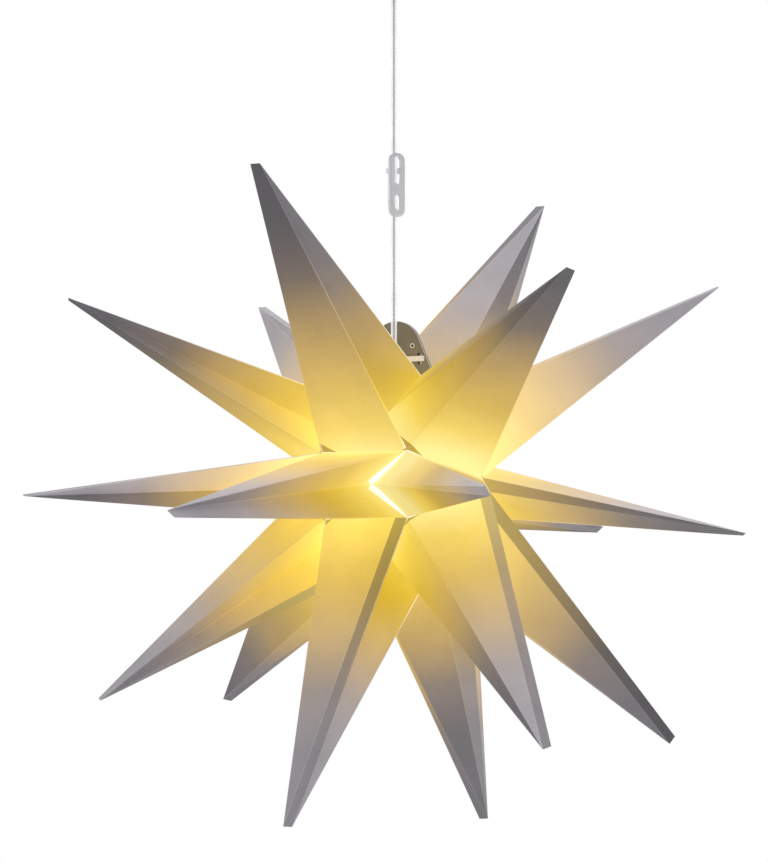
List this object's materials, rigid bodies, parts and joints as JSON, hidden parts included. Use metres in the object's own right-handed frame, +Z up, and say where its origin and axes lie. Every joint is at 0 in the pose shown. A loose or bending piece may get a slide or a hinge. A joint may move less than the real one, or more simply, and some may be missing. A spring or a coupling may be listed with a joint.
{
  "type": "led star light",
  "caption": "Lit folding star of translucent film that hangs on a flat cord from a round ceiling fitting.",
  "frame": {"origin": "centre of the face that rests against the ceiling", "axes": "+Z up into the ceiling, the cord hangs along -Z; +X to the right and -Y toward the viewer as seen from the front"},
  "size_m": [0.5436, 0.5189, 0.6838],
  "materials": {
    "film": "translucent matt film, lit from inside",
    "plate": "satin translucent sheet",
    "eyelet": "polished",
    "clip": "moulded, satin",
    "cord": "translucent soft plastic",
    "hanger": "moulded, translucent",
    "fitting_plastic": "moulded, satin",
    "cover": "moulded, semi gloss",
    "screw": "plated",
    "driver": "moulded, matt",
    "lamp_plastic": "moulded, satin",
    "board": "coated board",
    "led": "clear resin over phosphor",
    "diffuser": "opal"
  },
  "bodies": {
    "fitting": {"rose_base": "fitting_plastic", "rose_cover": "cover", "rose_gland": "fitting_plastic", "gland_nut": "fitting_plastic", "cover_screws": "screw", "led_driver": "driver", "terminal_block": "fitting_plastic", "supply_lead": "cord", "lamp_lead": "cord"},
    "ball": {"cord_stop": "fitting_plastic"},
    "cord": {"cord": "cord", "lamp_cap": "lamp_plastic", "lamp_body": "lamp_plastic", "led_board": "board", "leds": "led", "lamp_diffuser": "diffuser"},
    "hanger": {"cord_hanger": "hanger"},
    "star": {"point_upper_front_left": "film", "point_upper_front_right": "film", "point_upper_right": "film", "point_upper_back_right": "film", "point_upper_back_left": "film", "point_upper_left": "film", "point_middle_front_left": "film", "point_middle_front_right": "film", "point_middle_right": "film", "point_middle_back_right": "film", "point_middle_back_left": "film", "point_middle_left": "film", "point_lower_front_left": "film", "point_lower_front_right": "film", "point_lower_right": "film", "point_lower_back_right": "film", "point_lower_back_left": "film", "point_lower_left": "film", "closing_plate_front": "plate", "closing_plate_back": "plate", "plate_eyelets": "eyelet"},
    "clip": {"plate_clip": "clip"}
  },
  "joints": [
    {"name": "swing_fore_aft", "type": "hinge", "parent": "fitting", "child": "ball", "pos_m": [0, 0, -0.024], "axis": [1, 0, 0], "range_deg": [-20, 20]},
    {"name": "swing_sideways", "type": "hinge", "parent": "ball", "child": "cord", "pos_m": [0, 0, -0.024], "axis": [0, 1, 0], "range_deg": [-20, 20]},
    {"name": "star_turn", "type": "hinge", "parent": "cord", "child": "star", "pos_m": [0, 0, -0.425], "axis": [0, 0, 1], "range_deg": [-180, 180]},
    {"name": "hanger_slide", "type": "slide", "parent": "cord", "child": "hanger", "axis": [0, 0, 1], "range_m": [-0.05, 0.11]},
    {"name": "clip_pull", "type": "slide", "parent": "star", "child": "clip", "axis": [-0.4226, -0.9063, 0], "range_m": [0, 0.012]}
  ]
}
